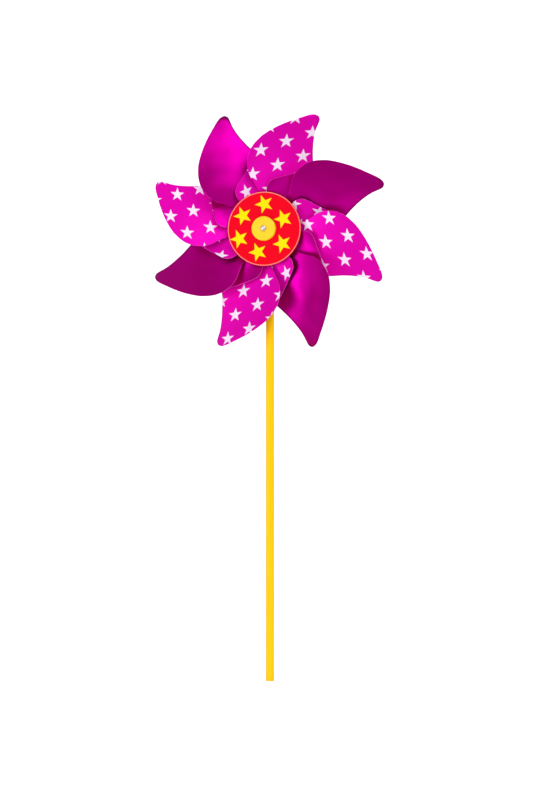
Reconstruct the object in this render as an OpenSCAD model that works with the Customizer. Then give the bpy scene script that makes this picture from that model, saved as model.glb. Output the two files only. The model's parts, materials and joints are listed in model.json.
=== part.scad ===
// Toy pinwheel on a stick: eight curled film vanes, cut as two four-vane sheets, spin on a pin.
// The origin is the centre of the stick's lower end, +Z runs up the stick, the wheel faces -Y.

/* [Stick] */
// Outside diameter of the stick
stick_d = 6; // [5:0.5:8]
// Wall of the hollow stick
stick_wall = 1; // [0.8:0.1:1.4]
// Height of the wheel's axle above the lower end of the stick
axle_z = 319; // [200:1:450]
// Stick left above the axle
stick_over = 9; // [6:1:15]
// Depth of the stick's top end, pressed flat where the pin goes through
press_depth = 3.6; // [3:0.1:4]

/* [Vanes] */
// Thickness of the film
film_t = 0.3; // [0.25:0.05:0.4]
// Forward slope of each vane from its curl to its free edge
leaf_slope = 0.33; // [0.3:0.01:0.38]
// How far the vane tips are swept back
tip_sweep = 16; // [10:1:18]
// Radius of the curl where the film turns over
curl_r = 1.9; // [1.7:0.1:2.1]

/* [Hub] */
// Diameter of the red disc in front
disc_d = 52; // [50:1:54]
// Diameter of the yellow boss in the middle
boss_d = 17; // [14:0.5:20]
// Diameter of the pin
pin_d = 1.6; // [1.4:0.1:2]
// Diameter of the pin's domed head
head_d = 4.4; // [3.6:0.2:5.6]

/* [Hidden] */
$fn = 64;

vane_count = 8;
per_sheet = 4;
run_gap = 0.05;      // radial clearance of the wheel on the pin
stack_gap = 0.12;    // play of the film between the flange and the clamp ring

// Distances in front of the stick's centre line, from the back to the front
root_y = 12.6;       // middle of the front sheet's ring
sheet_step = 0.6;    // back sheet behind the front sheet
ring_t = 0.5;
ring_r = 11;
flange_t = 1.6;
flange_y = root_y - sheet_step - ring_t / 2 - stack_gap - flange_t;
tab_rise = 3.5;      // tabs above the roots
clamp_y = root_y + tab_rise + film_t / 2 + 2 * stack_gap;
clamp_t = 1.4;
disc_y = root_y + 10.2;
disc_t = 1.2;
label_t = 0.2;
boss_t = 3;
rim_r = 1;           // rounding of the boss
head_t = 1.5;

// Stick
press_w = PI / 2 * (stick_d - press_depth);  // flat part of the pressed end
press_run = 6;       // length over which the round tube narrows to the pressed depth
press_below = 14;    // the round tube ends this far below the axle
round_top = axle_z - press_below;
cap_t = 4;
cap_floor = 1;
cap_r = 3;
over = 1;            // cutters run this far past the faces they cut

// Hub
peg_ring_r = 13;
peg_r = 1;
peg_play = 0.2;
sleeve_r = 4;
stem_r = 2.4;        // the boss plugs into the sleeve
stem_l = 6;
stem_gap = 1;        // room left behind the plug
centre_r = 2.5;      // hole in the disc and its label
flange_r = 14.6;
clamp_r = 14.6;
clamp_play = 0.1;
spacer_r = 2.8;
spacer_gap = 0.3;
label_inset = 0.4;   // rim of the disc outside its label
pin_r = pin_d / 2;
head_play = 0.35;    // gap that leaves the wheel free to spin

// Flat outline of one vane, as [along the profile, out from the axle].
// The profile coordinate is 0 where the curl starts, positive on the leaf,
// 0 to -1 round the curl, and below that on the tab.
curl_w = -2.5;       // where the curl starts, across the vane
curl_in = 12;        // the curl's hub end
curl_out = 48;       // the curl's outer end
curl_steps = 5;
flat_in = 14.5;      // the film is flat inside this radius
flat_out = 21;       // the film has its full slope outside this radius
sweep_in = 17;       // the sweep back starts here
sweep_out = 80;
tab_slope = 0.2;
tab_flare = 0.0121;  // how fast the tab's outer part turns forward
flare_w = 4;

// Hub side and outer side of the leaf, from its free edge to the curl
leaf_near = [
    [51.1, 40.5], [50.6, 35], [49.2, 30], [46.5, 25.2], [42.5, 21], [37.5, 18], [32.5, 16.6], [28, 15.3],
    [24.5, 14.4], [20, 16.4], [14, 18], [9, 17.6], [6.4, 15.5], [5.8, 12.5], [5, 10.2], [2.5, 9.8], [0.6, 10.6]
];
leaf_far = [
    [51.2, 42.5], [50.6, 48], [49, 56], [46.6, 64], [44, 71], [42, 76.2], [40.2, 79.2], [37.8, 80.7],
    [35.2, 79.9], [33.4, 77.2], [31.2, 73], [28.4, 69], [24.6, 64.6], [20.4, 60.4], [16, 56.6], [11, 52.6],
    [5, 49.2]
];
// Hub side and outer side of the tab, from the curl to its free edge
tab_near = [
    [-1.6, 10.8], [-3, 10.2], [-6, 10.2], [-8.4, 11.6], [-10.5, 13.6], [-14.5, 15.6], [-19, 16.8],
    [-22.5, 18.6], [-25, 21.5], [-26.1, 25]
];
tab_far = [
    [-3, 48.8], [-6, 50.4], [-9.5, 51.4], [-12.5, 50.9], [-15.5, 48.6], [-18.5, 43.6], [-21.6, 37.4],
    [-23.6, 33], [-25.2, 29.6], [-26.1, 26.5]
];
row_count = 7;
row_power = 1.6;     // rows stand closer together near the hub

function lerp(a, b, t) = a + (b - a) * t;
function ease(t) = let (c = min(1, max(0, t))) c * c * (3 - 2 * c);
function curl_line(v) = [for (i = [0:curl_steps]) [-i / curl_steps, v]];
near_line = concat(leaf_near, curl_line(curl_in), tab_near);
far_line = concat(leaf_far, curl_line(curl_out), tab_far);

// Cross-section of the bent film: leaf, curl and tab, as [across, forward]
leaf_angle = atan(leaf_slope);
tab_angle = atan(tab_slope);
curl_turn = 180 + leaf_angle - tab_angle;
curl_start = [curl_w, leaf_slope * curl_w];
curl_centre = curl_start + curl_r * [-sin(leaf_angle), cos(leaf_angle)];
curl_end = curl_centre + curl_r * [-sin(tab_angle), cos(tab_angle)];
function leaf_section(s) = [curl_w + s, leaf_slope * (curl_w + s)];
function curl_section(s) =
    let (a = leaf_angle - 90 + s * curl_turn) curl_centre + curl_r * [cos(a), sin(a)];
function tab_section(s) =
    let (w = curl_end[0] - 1 - s, f = max(0, w - flare_w))
    [w, curl_end[1] + tab_slope * (w - curl_end[0]) + tab_flare * f * f];
function section(s) = s >= 0 ? leaf_section(s) : s > -1 ? curl_section(s) : tab_section(s);
function flat_section(s) = [section(s)[0], tab_rise * min(1, max(0, -s))];

// A point of the film's middle surface, as [out, across, forward]
function film_point(s, v) =
    let (b = ease((norm([v, section(s)[0]]) - flat_in) / (flat_out - flat_in)),
         p = lerp(flat_section(s), section(s), b),
         k = max(0, (v - sweep_in) / (sweep_out - sweep_in)))
    [v, p[0], p[1] - tip_sweep * k * k];
function unit(v) = v / norm(v);
function film_normal(s, v) =
    let (e = 0.02)
    unit(cross(film_point(s, v + e) - film_point(s, v - e), film_point(s + e, v) - film_point(s - e, v)));

columns = len(near_line);
function grid_at(i, j) = lerp(near_line[i], far_line[i], pow(j / (row_count - 1), row_power));
function skin(side) = [
    for (i = [0:columns - 1], j = [0:row_count - 1])
        let (g = grid_at(i, j)) film_point(g[0], g[1]) + side * film_t / 2 * film_normal(g[0], g[1])
];
function quad(a, b, c, d) = [[a, c, b], [a, d, c]];

// One vane with its axle along the third axis, front upwards
module vane() {
    total = columns * row_count;
    last = row_count - 1;
    end = columns - 1;
    function at(i, j, side) = side * total + i * row_count + j;
    polyhedron(
        points = concat(skin(-1), skin(1)),
        faces = [
            for (i = [0:columns - 2], j = [0:last - 1]) each concat(
                quad(at(i, j, 1), at(i + 1, j, 1), at(i + 1, j + 1, 1), at(i, j + 1, 1)),
                quad(at(i, j, 0), at(i, j + 1, 0), at(i + 1, j + 1, 0), at(i + 1, j, 0))
            ),
            for (i = [0:columns - 2]) each concat(
                quad(at(i, 0, 0), at(i + 1, 0, 0), at(i + 1, 0, 1), at(i, 0, 1)),
                quad(at(i, last, 0), at(i, last, 1), at(i + 1, last, 1), at(i + 1, last, 0))
            ),
            for (j = [0:last - 1]) each concat(
                quad(at(0, j, 0), at(0, j, 1), at(0, j + 1, 1), at(0, j + 1, 0)),
                quad(at(end, j, 0), at(end, j + 1, 0), at(end, j + 1, 1), at(end, j, 1))
            )
        ]
    );
}

// Puts a part drawn round the upright axis onto the wheel's axle, front towards -Y
module on_axle(y) {
    translate([0, -y, axle_z]) rotate([90, 0, 0]) children();
}

wheel_turn = 42.5;   // turns the first star vane to its place

// Four vanes joined by a ring, with a hole for each peg in the root and in the tab
module film_sheet(first) {
    difference() {
        union() {
            for (i = [0:per_sheet - 1]) rotate(first + wheel_turn + i * 360 / per_sheet) vane();
            translate([0, 0, -ring_t / 2]) cylinder(h = ring_t, r = ring_r);
        }
        translate([0, 0, -over]) cylinder(h = 2 * over, r = sleeve_r + peg_play);
        for (i = [0:per_sheet - 1]) rotate(first + wheel_turn + i * 360 / per_sheet)
            translate([peg_ring_r, 0, -over]) cylinder(h = tab_rise + 2 * over, r = peg_r + peg_play);
    }
}

// Outline of the stick's pressed end, inset from its outer surface
module pressed_outline(inset) {
    square([press_w, press_depth - 2 * inset], center = true);
    for (side = [-1, 1]) translate([side * press_w / 2, 0]) circle(d = press_depth - 2 * inset);
}

// The stick's solid shape, inset from its outer surface: round, then narrowing to the pressed end
module stick_body(inset) {
    round_d = stick_d - 2 * inset;
    cylinder(h = round_top, d = round_d);
    translate([0, 0, round_top]) cylinder(h = press_run, d1 = round_d, d2 = press_depth - 2 * inset);
    translate([0, 0, round_top + inset])
        linear_extrude(axle_z + stick_over - round_top - inset) pressed_outline(inset);
}

module stick() {
    color("gold") difference() {
        stick_body(0);
        stick_body(stick_wall);
        translate([0, 0, -over]) cylinder(h = 2 * over, d = stick_d - 2 * stick_wall);
        translate([0, 0, axle_z + stick_over - over]) linear_extrude(2 * over) pressed_outline(stick_wall);
        on_axle(-press_depth) cylinder(h = 2 * press_depth, r = pin_r);
    }
}

module axle_pin() {
    front_y = disc_y + disc_t + label_t + boss_t + head_play;
    rear_y = press_depth / 2 + cap_t - cap_floor;
    color("silver") union() {
        on_axle(-rear_y) cylinder(h = front_y + rear_y + head_t / 2, r = pin_r);
        on_axle(front_y) pin_head();
    }
}

// Low dome
module pin_head() {
    dome_r = (head_t * head_t + head_d * head_d / 4) / (2 * head_t);
    intersection() {
        translate([0, 0, head_t - dome_r]) sphere(r = dome_r);
        cylinder(h = head_t + 1, r = head_d);
    }
}

module pin_cap() {
    color("gold") on_axle(-press_depth / 2 - cap_t) difference() {
        cylinder(h = cap_t, r = cap_r);
        translate([0, 0, cap_floor]) cylinder(h = cap_t, r = pin_r);
    }
}

module rear_spacer() {
    color("gold") on_axle(press_depth / 2) difference() {
        cylinder(h = flange_y - spacer_gap - press_depth / 2, r = spacer_r);
        translate([0, 0, -over]) cylinder(h = flange_y, r = pin_r);
    }
}

module hub() {
    color("gold") on_axle(flange_y) difference() {
        union() {
            cylinder(h = flange_t, r = flange_r);
            cylinder(h = disc_y - flange_y, r = sleeve_r);
            for (i = [0:vane_count - 1]) rotate(wheel_turn + i * 360 / vane_count)
                translate([peg_ring_r, 0, 0]) cylinder(h = clamp_y + clamp_t - flange_y, r = peg_r);
        }
        translate([0, 0, -over]) cylinder(h = disc_y, r = pin_r + run_gap);
        translate([0, 0, disc_y - flange_y - stem_l]) cylinder(h = stem_l + over, r = stem_r);
    }
}

module plain_sheet() {
    color("mediumvioletred") on_axle(root_y - sheet_step) film_sheet(45);
}

module star_sheet() {
    color("deeppink") on_axle(root_y) film_sheet(0);
}

module clamp_ring() {
    color("gold") on_axle(clamp_y) difference() {
        cylinder(h = clamp_t, r = clamp_r);
        translate([0, 0, -over]) cylinder(h = clamp_t + 2 * over, r = sleeve_r + clamp_play);
        for (i = [0:vane_count - 1]) rotate(wheel_turn + i * 360 / vane_count)
            translate([peg_ring_r, 0, -over]) cylinder(h = clamp_t + 2 * over, r = peg_r);
    }
}

module front_disc() {
    color("red") on_axle(disc_y) difference() {
        cylinder(h = disc_t, d = disc_d);
        translate([0, 0, -over]) cylinder(h = disc_t + 2 * over, r = centre_r);
    }
}

module disc_label() {
    color("red") on_axle(disc_y + disc_t) difference() {
        cylinder(h = label_t, d = disc_d - 2 * label_inset);
        translate([0, 0, -over]) cylinder(h = label_t + 2 * over, r = centre_r);
    }
}

module front_boss() {
    stem_back = disc_t + label_t + stem_l - stem_gap;
    color("yellow") on_axle(disc_y + disc_t + label_t) difference() {
        union() {
            rotate_extrude() boss_half();
            translate([0, 0, -stem_back]) cylinder(h = stem_back + over, r = stem_r);
        }
        translate([0, 0, -stem_back - over]) cylinder(h = stem_back + boss_t + 2 * over, r = pin_r + run_gap);
    }
}

// Half section of the boss: a low button with a rounded rim
module boss_half() {
    boss_r = boss_d / 2;
    square([boss_r - rim_r, boss_t]);
    square([boss_r, boss_t - rim_r]);
    translate([boss_r - rim_r, boss_t - rim_r]) circle(r = rim_r);
}

stick();
axle_pin();
pin_cap();
rear_spacer();
hub();
plain_sheet();
star_sheet();
clamp_ring();
front_disc();
disc_label();
front_boss();
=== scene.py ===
import json
import math

import bpy
import bmesh
from mathutils import Matrix, Vector


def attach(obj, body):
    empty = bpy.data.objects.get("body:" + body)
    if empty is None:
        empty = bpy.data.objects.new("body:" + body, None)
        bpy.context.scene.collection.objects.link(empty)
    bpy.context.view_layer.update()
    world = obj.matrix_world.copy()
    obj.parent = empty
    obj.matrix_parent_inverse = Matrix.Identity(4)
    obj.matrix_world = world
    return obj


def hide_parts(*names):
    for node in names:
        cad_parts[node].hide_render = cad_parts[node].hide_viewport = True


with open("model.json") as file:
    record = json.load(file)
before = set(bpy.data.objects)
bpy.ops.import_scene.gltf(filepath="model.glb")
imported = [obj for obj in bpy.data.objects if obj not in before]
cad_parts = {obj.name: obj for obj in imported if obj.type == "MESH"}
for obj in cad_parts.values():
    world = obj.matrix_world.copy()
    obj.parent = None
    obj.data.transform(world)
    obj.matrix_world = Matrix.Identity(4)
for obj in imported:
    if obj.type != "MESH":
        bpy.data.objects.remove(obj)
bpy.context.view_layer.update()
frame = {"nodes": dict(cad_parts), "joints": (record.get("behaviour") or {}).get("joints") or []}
print("frame loaded")

scene = bpy.context.scene
scene.view_settings.view_transform = "Standard"  # keeps the toy's colours full
mm = 0.001
axle = Vector(frame["joints"][0]["pos_m"])  # where the wheel's axis crosses the stick

# camera
cameraView = {
    "azimuth": 10.0,     # degrees round to the right of the wheel's front
    "distance": 1.25,    # metres
    "height": 0.1995,    # of the point looked at, level with the camera
    "aside": -0.0025,    # that point, to the right of the stick
    "span": 0.569,       # height of the picture at the stick
    "sensor": 36.0,
}


def makeCamera(view):
    turn = math.radians(view["azimuth"])
    right = Vector((math.cos(turn), math.sin(turn), 0))
    back = Vector((math.sin(turn), -math.cos(turn), 0))
    data = bpy.data.cameras.new("camera")
    data.sensor_width = view["sensor"]
    data.lens = view["sensor"] * view["distance"] / view["span"]
    data.clip_start = 0.01
    camera = bpy.data.objects.new("camera", data)
    camera.location = right * view["aside"] + Vector((0, 0, view["height"])) + back * view["distance"]
    camera.rotation_euler = (-back).to_track_quat("-Z", "Y").to_euler()
    scene.collection.objects.link(camera)
    scene.camera = camera


makeCamera(cameraView)
print("camera set")


# helpers for materials
def linear(hexColour):
    digits = hexColour.lstrip("#")
    parts = [int(digits[i:i + 2], 16) / 255 for i in (0, 2, 4)]
    return [c / 12.92 if c <= 0.04045 else ((c + 0.055) / 1.055) ** 2.4 for c in parts] + [1.0]


def addNode(tree, kind, settings, inputs):
    node = tree.nodes.new("ShaderNode" + kind)
    for key, value in settings.items():
        setattr(node, key, value)
    for key, value in inputs.items():
        if isinstance(value, bpy.types.NodeSocket):
            tree.links.new(value, node.inputs[key])
        else:
            node.inputs[key].default_value = value
    return node


def newMaterial(name, settings):
    material = bpy.data.materials.new(name)
    material.use_nodes = True
    tree = material.node_tree
    shader = tree.nodes["Principled BSDF"]
    for key, value in settings.items():
        shader.inputs[key].default_value = value
    return material, tree, shader


def starInside(tree, offset, star):
    # distance in mm inside a five-pointed star round the offset's zero, negative outside
    fifth = math.radians(36)
    split = addNode(tree, "SeparateXYZ", {}, {0: offset}).outputs
    reach = addNode(tree, "VectorMath", {"operation": "LENGTH"}, {0: offset}).outputs["Value"]
    bearing = addNode(tree, "Math", {"operation": "ARCTAN2"}, {0: split["X"], 1: split["Y"]}).outputs[0]
    turn = math.radians(star["tipAngle"] - 90)
    turned = addNode(tree, "Math", {"operation": "ADD"}, {0: bearing, 1: turn}).outputs[0]
    fold = addNode(tree, "Math", {"operation": "PINGPONG"}, {0: turned, 1: fifth}).outputs[0]
    side = Vector((star["notch"] * math.sin(fifth), star["tip"] - star["notch"] * math.cos(fifth)))
    side.normalize()
    lean = math.atan2(side.y, side.x)
    away = addNode(tree, "Math", {"operation": "SUBTRACT"}, {0: fold, 1: lean}).outputs[0]
    shape = addNode(tree, "Math", {"operation": "COSINE"}, {0: away}).outputs[0]
    across = addNode(tree, "Math", {"operation": "MULTIPLY"}, {0: reach, 1: shape}).outputs[0]
    return addNode(tree, "Math", {"operation": "SUBTRACT"}, {0: side.x * star["tip"], 1: across}).outputs[0]


def softEdge(tree, distance, blur):
    edge = addNode(tree, "MapRange", {}, {"Value": distance, "From Min": -blur, "From Max": blur})
    return edge.outputs["Result"]


def colourMix(tree, factor, first, second):
    # sockets 6 and 7 are the two colours of a colour mix
    mix = addNode(tree, "Mix", {"data_type": "RGBA"}, {0: factor, 6: first, 7: second})
    return mix.outputs[2]


# film
film = {
    "magenta": "#dc00b4",
    "deep": "#cc0088",
    "printMagenta": "#f000c0",
    "printDeep": "#e200a6",
    "starWhite": "#ecdcee",
    "grain": 0.35,        # mm, fine satin grain, drawn coarser than real so that it shows
    "grainDepth": 0.012,  # mm
    "ripple": 24.0,       # mm, size of the slow waves in the film
    "plainRipple": 1.2,   # mm, how deep they are drawn on the satin face
    "printRipple": 0.8,   # and on the printed face
    "satinRoughness": 0.4,
    "inkRoughness": 0.42,
    "inkSpecular": 0.08,  # matt ink hardly mirrors
    "inkMetal": 0.45,     # metal that shows through the ink
    "starMetal": 0.1,     # and through the stars
    "printBlur": 0.12,    # mm, softness of a printed edge
    "star": {"tip": 5.6, "notch": 2.2, "tipAngle": 90},
    "reverseStar": {"tip": 5.6, "notch": 2.2, "tipAngle": 65},
    "row": (17.9, 5.7),   # mm from one star to the next
    "column": (-5.0, -17.8),
    "edge": "#f08cd8",
    "edgeSpeck": 1.11,    # mm
    "bow": 0.006,         # per mm, how much the vanes hollow towards the front
    "bowMiddle": 18.0,    # mm across the vane
}


def filmRelief(tree, uv, shader, rippleDepth):
    # the bow across the vane and slow ripples bend the highlights, fine grain breaks them up
    slow = addNode(tree, "TexNoise", {}, {"Vector": uv, "Scale": 1 / film["ripple"], "Detail": 1.0})
    fine = addNode(tree, "TexNoise", {}, {"Vector": uv, "Scale": 1 / film["grain"], "Detail": 2.0})
    lie = addNode(tree, "UVMap", {"uv_map": "lie"}, {}).outputs["UV"]
    across = addNode(tree, "SeparateXYZ", {}, {0: lie}).outputs["Y"]
    centred = addNode(tree, "Math", {"operation": "SUBTRACT"}, {0: across, 1: film["bowMiddle"]}).outputs[0]
    square = addNode(tree, "Math", {"operation": "MULTIPLY"}, {0: centred, 1: centred}).outputs[0]
    bow = addNode(tree, "Bump", {}, {"Height": square, "Distance": film["bow"] * mm})
    waves = addNode(tree, "Bump", {}, {"Height": slow.outputs["Fac"], "Distance": rippleDepth * mm,
                                       "Normal": bow.outputs["Normal"]})
    grain = addNode(tree, "Bump", {}, {"Height": fine.outputs["Fac"], "Distance": film["grainDepth"] * mm,
                                       "Normal": waves.outputs["Normal"]})
    tree.links.new(grain.outputs["Normal"], shader.inputs["Normal"])
    return fine.outputs["Fac"]


def plainFilm():
    # satin metallised face: colour deepens away from the lamps, broad soft highlights
    finish = {"Metallic": 1.0, "Roughness": film["satinRoughness"]}
    material, tree, shader = newMaterial("plainFilmSatin", finish)
    uv = addNode(tree, "UVMap", {"uv_map": "film"}, {}).outputs["UV"]
    fine = filmRelief(tree, uv, shader, film["plainRipple"])
    colour = colourMix(tree, fine, linear(film["deep"]), linear(film["magenta"]))
    tree.links.new(colour, shader.inputs["Base Color"])
    return material


def latticeOffset(tree, uv):
    # where this spot lies from the middle of the nearest star
    row, column = film["row"], film["column"]
    area = row[0] * column[1] - row[1] * column[0]
    offset = uv
    for step, weights in ((row, (column[1] / area, -column[0] / area, 0)),
                          (column, (-row[1] / area, row[0] / area, 0))):
        count = addNode(tree, "VectorMath", {"operation": "DOT_PRODUCT"}, {0: uv, 1: weights})
        whole = addNode(tree, "Math", {"operation": "ROUND"}, {0: count.outputs["Value"]}).outputs[0]
        place = addNode(tree, "VectorMath", {"operation": "SCALE"}, {0: (*step, 0), "Scale": whole})
        offset = addNode(tree, "VectorMath", {"operation": "SUBTRACT"}, {0: offset, 1: place.outputs[0]})
        offset = offset.outputs[0]
    return offset


def printedFilm(name, star):
    # printed face: nearly matt magenta ink over the metal, with pale grey-pink stars
    finish = {"Roughness": film["inkRoughness"], "Specular IOR Level": film["inkSpecular"]}
    material, tree, shader = newMaterial(name, finish)
    uv = addNode(tree, "UVMap", {"uv_map": "film"}, {}).outputs["UV"]
    fine = filmRelief(tree, uv, shader, film["printRipple"])
    mask = softEdge(tree, starInside(tree, latticeOffset(tree, uv), star), film["printBlur"])
    ink = colourMix(tree, fine, linear(film["printDeep"]), linear(film["printMagenta"]))
    tree.links.new(colourMix(tree, mask, ink, linear(film["starWhite"])), shader.inputs["Base Color"])
    shine = addNode(tree, "MapRange", {}, {"Value": mask, "To Min": film["inkMetal"],
                                           "To Max": film["starMetal"]})
    tree.links.new(shine.outputs["Result"], shader.inputs["Metallic"])
    return material


def cutEdge():
    # cut edge of the film, pale where the clear base shows
    material, tree, shader = newMaterial("filmCutEdge", {"Roughness": film["satinRoughness"]})
    place = addNode(tree, "TexCoord", {}, {}).outputs["Object"]
    speck = addNode(tree, "TexNoise", {}, {"Vector": place, "Scale": 1 / (film["edgeSpeck"] * mm)})
    colour = colourMix(tree, speck.outputs["Fac"], linear(film["magenta"]), linear(film["edge"]))
    tree.links.new(colour, shader.inputs["Base Color"])
    return material


vane = {                   # lengths in mm, slopes in mm per mm
    "thickness": 0.3,
    "leafSlope": 0.33,     # forward rise of the leaf across its width
    "tipSweep": 16.0,      # how far the tip bends back
    "curlRadius": 1.9,
    "curlStart": -2.5,
    "curlIn": 12.0,        # the fold runs out from the axle between these
    "curlOut": 48.0,
    "curlSteps": 5,
    "tabRise": 3.5,        # of the curled-over tab above its own leaf's root
    "tabSlope": 0.2,
    "tabFlare": 0.0121,    # extra lift that clears the next leaf
    "flareStart": 4.0,
    "flatIn": 14.5,        # flat inside this radius
    "flatOut": 21.0,
    "sweepIn": 17.0,       # where the tip starts to bend back
    "sweepOut": 80.0,
    # outline as (along the profile, out from the axle): hub side and outer side of the leaf,
    # then of the tab
    "leafNear": [
        (51.1, 40.5), (50.6, 35), (49.2, 30), (46.5, 25.2), (42.5, 21), (37.5, 18), (32.5, 16.6),
        (28, 15.3), (24.5, 14.4), (20, 16.4), (14, 18), (9, 17.6), (6.4, 15.5), (5.8, 12.5),
        (5, 10.2), (2.5, 9.8), (0.6, 10.6),
    ],
    "leafFar": [
        (51.2, 42.5), (50.6, 48), (49, 56), (46.6, 64), (44, 71), (42, 76.2), (40.2, 79.2),
        (37.8, 80.7), (35.2, 79.9), (33.4, 77.2), (31.2, 73), (28.4, 69), (24.6, 64.6),
        (20.4, 60.4), (16, 56.6), (11, 52.6), (5, 49.2),
    ],
    "tabNear": [
        (-1.6, 10.8), (-3, 10.2), (-6, 10.2), (-8.4, 11.6), (-10.5, 13.6), (-14.5, 15.6), (-19, 16.8),
        (-22.5, 18.6), (-25, 21.5), (-26.1, 25),
    ],
    "tabFar": [
        (-3, 48.8), (-6, 50.4), (-9.5, 51.4), (-12.5, 50.9), (-15.5, 48.6), (-18.5, 43.6), (-21.6, 37.4),
        (-23.6, 33), (-25.2, 29.6), (-26.1, 26.5),
    ],
    "columnSteps": 4,      # extra columns between two outline points
    "rows": 26,
    "rowPower": 1.4,       # packs the rows towards the hub
    "ringIn": 4.2,         # the sheet's middle
    "ringOut": 11.0,
    "ringSteps": 72,
    "printStretch": 1.2,   # print across the vane, which the slope shortens to the eye
}
leafAngle = math.atan(vane["leafSlope"])
tabAngle = math.atan(vane["tabSlope"])
curlTurn = math.pi + leafAngle - tabAngle
curlLength = vane["curlRadius"] * curlTurn


def onCurl(angle):
    middle = Vector((vane["curlStart"] - vane["curlRadius"] * math.sin(leafAngle),
                     vane["curlStart"] * vane["leafSlope"] + vane["curlRadius"] * math.cos(leafAngle)))
    return middle + vane["curlRadius"] * Vector((math.cos(angle), math.sin(angle)))


curlEnd = onCurl(tabAngle + math.pi / 2)


def section(s):
    # across, forward and unrolled width of the bent film
    if s >= 0:
        w = vane["curlStart"] + s
        return w, vane["leafSlope"] * w, w
    if s > -1:
        point = onCurl(leafAngle - math.pi / 2 + s * curlTurn)
        return point.x, point.y, vane["curlStart"] + s * curlLength
    w = curlEnd.x - 1 - s
    flare = max(0.0, w - vane["flareStart"])
    h = curlEnd.y + vane["tabSlope"] * (w - curlEnd.x) + vane["tabFlare"] * flare ** 2
    return w, h, vane["curlStart"] - curlLength - math.hypot(w - curlEnd.x, h - curlEnd.y)


def filmPoint(s, v):
    w, h, flat = section(s)
    t = min(1.0, max(0.0, (math.hypot(v, w) - vane["flatIn"]) / (vane["flatOut"] - vane["flatIn"])))
    low = vane["tabRise"] * min(1.0, max(0.0, -s))
    sweep = max(0.0, (v - vane["sweepIn"]) / (vane["sweepOut"] - vane["sweepIn"]))
    height = low + (h - low) * t * t * (3 - 2 * t) - vane["tipSweep"] * sweep ** 2
    return Vector((v, w, height)), Vector((v, flat * vane["printStretch"], 0))


def smoothLine(points):
    line = []
    steps = vane["columnSteps"]
    for i in range(len(points) - 1):
        a, b = Vector(points[max(0, i - 1)]), Vector(points[i])
        c, d = Vector(points[i + 1]), Vector(points[min(len(points) - 1, i + 2)])
        for t in [j / steps for j in range(steps)]:
            bend = 2 * a - 5 * b + 4 * c - d + t * (3 * b - a - 3 * c + d)
            line.append(b + 0.5 * t * (c - a + t * bend))
    return line + [Vector(points[-1])]


def curlLine(v):
    return [(-i / vane["curlSteps"], v) for i in range(vane["curlSteps"] + 1)]


nearLine = smoothLine(vane["leafNear"] + curlLine(vane["curlIn"]) + vane["tabNear"])
farLine = smoothLine(vane["leafFar"] + curlLine(vane["curlOut"]) + vane["tabFar"])


def addVane(bm, printLayer, lieLayer, turn, printAt):
    columns, rows = len(nearLine) - 1, vane["rows"]
    made = bmesh.ops.create_grid(bm, x_segments=columns, y_segments=rows, size=1)["verts"]
    turned = Matrix.Rotation(math.radians(turn), 3, "Z")
    flat, lie = {}, {}
    for vert in made:
        i = round((vert.co.x + 1) / 2 * columns)
        s, v = nearLine[i].lerp(farLine[i], ((vert.co.y + 1) / 2) ** vane["rowPower"])
        point, place = filmPoint(s, v)
        lie[vert] = point.xy
        flat[vert] = (turned @ place).xy - Vector(printAt)
        vert.co = turned @ point
    for face in {f for vert in made for f in vert.link_faces}:
        for loop in face.loops:
            loop[printLayer].uv = flat[loop.vert]
            loop[lieLayer].uv = lie[loop.vert]


def addRing(bm):
    inner = bm.verts.new((vane["ringIn"], 0, 0))
    outer = bm.verts.new((vane["ringOut"], 0, 0))
    spoke = bm.edges.new((inner, outer))
    before = set(bm.faces)
    bmesh.ops.spin(bm, geom=[inner, outer, spoke], axis=(0, 0, 1), cent=(0, 0, 0), steps=vane["ringSteps"],
                   angle=math.tau, use_merge=True)
    ring = [f for f in bm.faces if f not in before]
    bm.normal_update()
    bmesh.ops.reverse_faces(bm, faces=[f for f in ring if f.normal.z < 0])


def makeSheet(sheet, materials):
    bm = bmesh.new()
    bm.loops.layers.uv.new("film")
    bm.loops.layers.uv.new("lie")
    printLayer, lieLayer = bm.loops.layers.uv["film"], bm.loops.layers.uv["lie"]
    for i, printAt in enumerate(sheet["printAt"]):
        addVane(bm, printLayer, lieLayer, sheet["firstTurn"] + 90 * i, printAt)
    addRing(bm)
    for face in bm.faces:
        face.smooth = True
    bm.transform(Matrix.Translation((axle.x, axle.y - sheet["forward"] * mm, axle.z))
                 @ Matrix.Rotation(math.radians(90), 4, "X") @ Matrix.Scale(mm, 4))
    mesh = bpy.data.meshes.new(sheet["name"])
    bm.to_mesh(mesh)
    bm.free()
    for material in materials:
        mesh.materials.append(material)
    piece = bpy.data.objects.new(sheet["name"], mesh)
    scene.collection.objects.link(piece)
    solid = piece.modifiers.new("filmThickness", "SOLIDIFY")
    solid.thickness = vane["thickness"] * mm
    solid.offset = 0
    solid.material_offset = 1
    solid.material_offset_rim = 2
    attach(piece, "wheel")
    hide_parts(sheet["node"])


starSheet = {
    "name": "starFilmSheet",
    "node": "star_sheet",
    "slot": "star_film",
    "firstTurn": 42.5,     # degrees from the right, as seen from the front
    "forward": 12.6,       # mm in front of the stick's centre line
    "printAt": [(28, 72.4), (-68.7, 22.3), (-13.1, -46), (64.5, -0.4)],  # one star's place on each vane
}
plainSheet = {
    "name": "plainFilmSheet",
    "node": "plain_sheet",
    "slot": "plain_film",
    "firstTurn": 87.5,
    "forward": 12.0,
    "printAt": [(34.1, 24.4), (-28.7, 40.8), (-23.7, -40.7), (36.0, -32.8)],
}
satin = plainFilm()
makeSheet(starSheet, [printedFilm("starPrintFront", film["star"]), satin, cutEdge()])
makeSheet(plainSheet, [satin, printedFilm("starPrintReverse", film["reverseStar"]), cutEdge()])
print("film sheets made")

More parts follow.
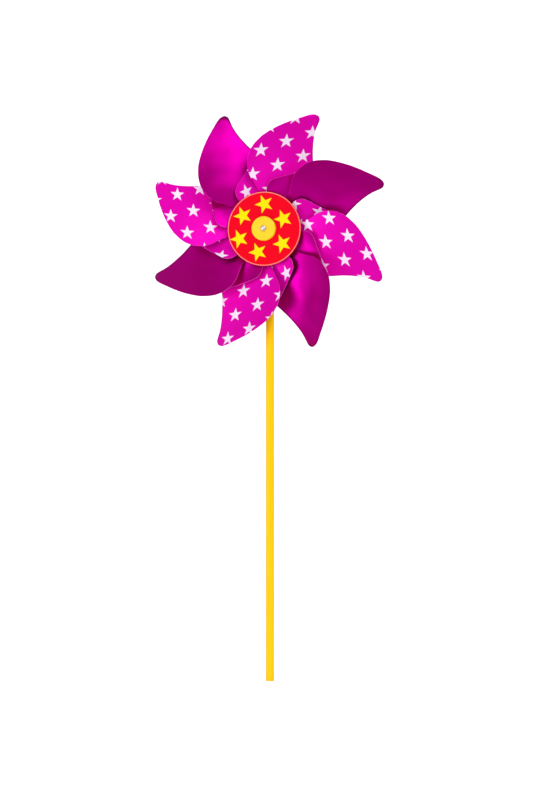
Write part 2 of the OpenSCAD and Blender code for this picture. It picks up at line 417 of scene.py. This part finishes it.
# moulded and turned pieces
plastic = {
    "yellow": "#fccc00",
    "streak": "#f0b200",
    "streakWidth": 0.5,    # mm, drawing lines, coarser than real so that they show
    "streakStretch": 0.02,  # along the tube
    "streakDepth": 0.02,   # mm
    "tubeRoughness": 0.3,
    "tubeSpecular": 0.15,
    "red": "#e60018",
    "redShade": "#d20014",
    "redRoughness": 0.35,
    "boss": "#f8cc00",
    "bossShade": "#f2c200",
    "bossRoughness": 0.28,
    "cloud": 3.85,         # mm, size of the uneven patches in a moulding's colour
    "skin": 0.67,          # mm, texture of the mould's surface
    "skinDepth": 0.01,     # mm
}


def stickPlastic():
    # glossy extruded tube with faint drawing lines along it
    finish = {"Roughness": plastic["tubeRoughness"], "Specular IOR Level": plastic["tubeSpecular"]}
    material, tree, shader = newMaterial("yellowTubePlastic", finish)
    place = addNode(tree, "TexCoord", {}, {}).outputs["Object"]
    drawn = addNode(tree, "Mapping", {}, {"Vector": place, "Scale": (1, 1, plastic["streakStretch"])})
    lines = addNode(tree, "TexNoise", {}, {"Vector": drawn.outputs[0],
                                           "Scale": 1 / (plastic["streakWidth"] * mm)})
    colour = colourMix(tree, lines.outputs["Fac"], linear(plastic["streak"]), linear(plastic["yellow"]))
    tree.links.new(colour, shader.inputs["Base Color"])
    bump = addNode(tree, "Bump", {}, {"Height": lines.outputs["Fac"],
                                      "Distance": plastic["streakDepth"] * mm})
    tree.links.new(bump.outputs["Normal"], shader.inputs["Normal"])
    return material


def mouldedPlastic(name, piece):
    # smooth moulding with a barely uneven skin
    material, tree, shader = newMaterial(name, {"Roughness": plastic[piece + "Roughness"]})
    place = addNode(tree, "TexCoord", {}, {}).outputs["Object"]
    cloud = addNode(tree, "TexNoise", {}, {"Vector": place, "Scale": 1 / (plastic["cloud"] * mm),
                                           "Detail": 3.0})
    shade, colour = linear(plastic[piece + "Shade"]), linear(plastic[piece])
    mixed = colourMix(tree, cloud.outputs["Fac"], shade, colour)
    tree.links.new(mixed, shader.inputs["Base Color"])
    skin = addNode(tree, "TexNoise", {}, {"Vector": place, "Scale": 1 / (plastic["skin"] * mm)})
    bump = addNode(tree, "Bump", {}, {"Height": skin.outputs["Fac"], "Distance": plastic["skinDepth"] * mm})
    tree.links.new(bump.outputs["Normal"], shader.inputs["Normal"])
    return material


pin = {
    "steel": "#f4f2f2",
    "marks": 0.4,          # mm
    "smooth": 0.22,
    "rough": 0.38,
}


def pinSteel():
    # bright plated wire with fine marks, mirrors the lamps softly
    finish = {"Metallic": 1.0, "Base Color": linear(pin["steel"])}
    material, tree, shader = newMaterial("pinSteelBright", finish)
    place = addNode(tree, "TexCoord", {}, {}).outputs["Object"]
    marks = addNode(tree, "TexNoise", {}, {"Vector": place, "Scale": 1 / (pin["marks"] * mm)})
    rough = addNode(tree, "MapRange", {}, {"Value": marks.outputs["Fac"], "To Min": pin["smooth"],
                                           "To Max": pin["rough"]})
    tree.links.new(rough.outputs["Result"], shader.inputs["Roughness"])
    return material


label = {
    "red": "#e2001c",
    "yellow": "#fcd808",
    "star": {"tip": 6.7, "notch": 2.75, "tipAngle": 39},
    # the stars' middles in mm from the disc's, as seen from the front
    "places": [(0.1, 17.2), (-15.1, 9.3), (13.5, 6.7), (-17.6, -6.8), (12.8, -10.6), (-4.4, -16.2)],
    "rimAt": 25.25,        # mm, the paper edge shows outside this
    "rim": "#f7a08c",
    "roughness": 0.4,
    "specular": 0.05,
    "printBlur": 0.12,     # mm
    "rimBlur": 0.1,
}


def printedLabel():
    # satin red print with yellow stars on card, pale cut rim
    finish = {"Roughness": label["roughness"], "Specular IOR Level": label["specular"]}
    material, tree, shader = newMaterial("printedDiscLabel", finish)
    place = addNode(tree, "TexCoord", {}, {}).outputs["Object"]
    split = addNode(tree, "SeparateXYZ", {}, {0: place}).outputs
    face = addNode(tree, "CombineXYZ", {}, {"X": split["X"], "Y": split["Z"]}).outputs[0]
    centre = (axle.x, axle.z, 0)
    centred = addNode(tree, "VectorMath", {"operation": "SUBTRACT"}, {0: face, 1: centre}).outputs[0]
    plane = addNode(tree, "VectorMath", {"operation": "SCALE"}, {0: centred, "Scale": 1 / mm}).outputs[0]
    best = None
    for spot in label["places"]:
        offset = addNode(tree, "VectorMath", {"operation": "SUBTRACT"}, {0: plane, 1: (*spot, 0)})
        inside = starInside(tree, offset.outputs[0], label["star"])
        if best is None:
            best = inside
        else:
            best = addNode(tree, "Math", {"operation": "MAXIMUM"}, {0: best, 1: inside}).outputs[0]
    stars = softEdge(tree, best, label["printBlur"])
    starred = colourMix(tree, stars, linear(label["red"]), linear(label["yellow"]))
    reach = addNode(tree, "VectorMath", {"operation": "LENGTH"}, {0: plane}).outputs["Value"]
    outside = addNode(tree, "Math", {"operation": "SUBTRACT"}, {0: reach, 1: label["rimAt"]}).outputs[0]
    edged = colourMix(tree, softEdge(tree, outside, label["rimBlur"]), starred, linear(label["rim"]))
    tree.links.new(edged, shader.inputs["Base Color"])
    return material


yellowTube = stickPlastic()
redDisc = mouldedPlastic("redDiscPlastic", "red")
bossYellow = mouldedPlastic("yellowBossPlastic", "boss")
dressing = {
    "stick": yellowTube,
    "pin_cap": bossYellow,
    "rear_spacer": bossYellow,
    "hub": bossYellow,
    "clamp_ring": bossYellow,
    "front_disc": redDisc,
    "disc_label": printedLabel(),
    "front_boss": bossYellow,
    "axle_pin": pinSteel(),
}
for node, material in dressing.items():
    frame["nodes"][node].material_slots[0].material = material
print("plastics and pin dressed")

# floor, backdrop and lamps
studio = {
    "front": -0.42,        # metres, near edge of the paper sweep
    "back": 1.7,
    "bend": 0.7,           # radius where the floor turns up into the backdrop
    "bendSteps": 14,
    "top": 2.6,
    "width": 5.0,
    "paper": "#f8f8f8",
    "paperRoughness": 0.9,
    "roomGlow": 0.44,
    "roomColour": (1.0, 0.93, 0.83, 1.0),  # warm room, cool lamps
    "lampColour": (0.88, 0.9, 1.0),
    "aim": (0, 0, 0.3),    # near the wheel's middle, where most lamps point
}
lamps = {
    # the boxes and cards show in the satin film, the fill and the wash only light it
    "leftBox": {"at": (-1.05, -1.23, 0.0), "size": (0.7, 1.0), "power": 8.0, "glossy": True},
    "rightBox": {"at": (0.8, -1.08, 1.5), "size": (0.8, 0.9), "power": 7.5, "glossy": True},
    "lowCard": {"at": (0.35, -0.95, -0.12), "size": (0.9, 0.3), "power": 0.9, "glossy": True},
    "highCard": {"at": (-0.35, -0.95, 0.7), "size": (0.9, 0.3), "power": 0.9, "glossy": True},
    "frontFill": {"at": (0.2, -1.7, 0.6), "size": (1.2, 1.0), "power": 10, "glossy": False},
    "paperWash": {"at": (0, 0.35, 2.2), "size": (3.0, 0.5), "power": 60, "glossy": False,
                  "aim": (0, 1.5, 0.4)},
}


def makeSweep():
    bm = bmesh.new()
    flatEnd, bend = studio["back"] - studio["bend"], studio["bend"]
    path = [(studio["front"], 0), (flatEnd, 0)]
    for i in range(studio["bendSteps"]):
        turn = math.radians(90 * (i + 1) / studio["bendSteps"])
        path.append((flatEnd + bend * math.sin(turn), bend * (1 - math.cos(turn))))
    path.append((studio["back"], studio["top"]))
    verts = [bm.verts.new((-studio["width"] / 2, y, z)) for y, z in path]
    edges = [bm.edges.new(pair) for pair in zip(verts, verts[1:])]
    made = bmesh.ops.extrude_edge_only(bm, edges=edges)["geom"]
    farSide = [g for g in made if isinstance(g, bmesh.types.BMVert)]
    bmesh.ops.translate(bm, vec=(studio["width"], 0, 0), verts=farSide)
    bmesh.ops.recalc_face_normals(bm, faces=bm.faces)
    for face in bm.faces:
        face.smooth = True
    mesh = bpy.data.meshes.new("paperSweep")
    bm.to_mesh(mesh)
    bm.free()
    finish = {"Roughness": studio["paperRoughness"], "Base Color": linear(studio["paper"])}
    mesh.materials.append(newMaterial("whitePaperSweep", finish)[0])
    sweep = bpy.data.objects.new("paperSweep", mesh)
    scene.collection.objects.link(sweep)
    sweep.visible_glossy = False  # the metallised film shows the lamps and the room, not the paper


def makeLamps():
    for name, lamp in lamps.items():
        data = bpy.data.lights.new(name, "AREA")
        data.shape = "RECTANGLE"
        data.size, data.size_y = lamp["size"]
        data.energy = lamp["power"]
        data.color = studio["lampColour"]
        light = bpy.data.objects.new(name, data)
        light.location = lamp["at"]
        light.visible_glossy = lamp["glossy"]
        aim = Vector(lamp.get("aim", studio["aim"])) - light.location
        light.rotation_euler = aim.to_track_quat("-Z", "Y").to_euler()
        scene.collection.objects.link(light)
    world = bpy.data.worlds.new("studioRoom")
    world.use_nodes = True
    room = world.node_tree.nodes["Background"]
    room.inputs["Color"].default_value = studio["roomColour"]
    room.inputs["Strength"].default_value = studio["roomGlow"]
    scene.world = world


makeSweep()
makeLamps()
print("studio lit")
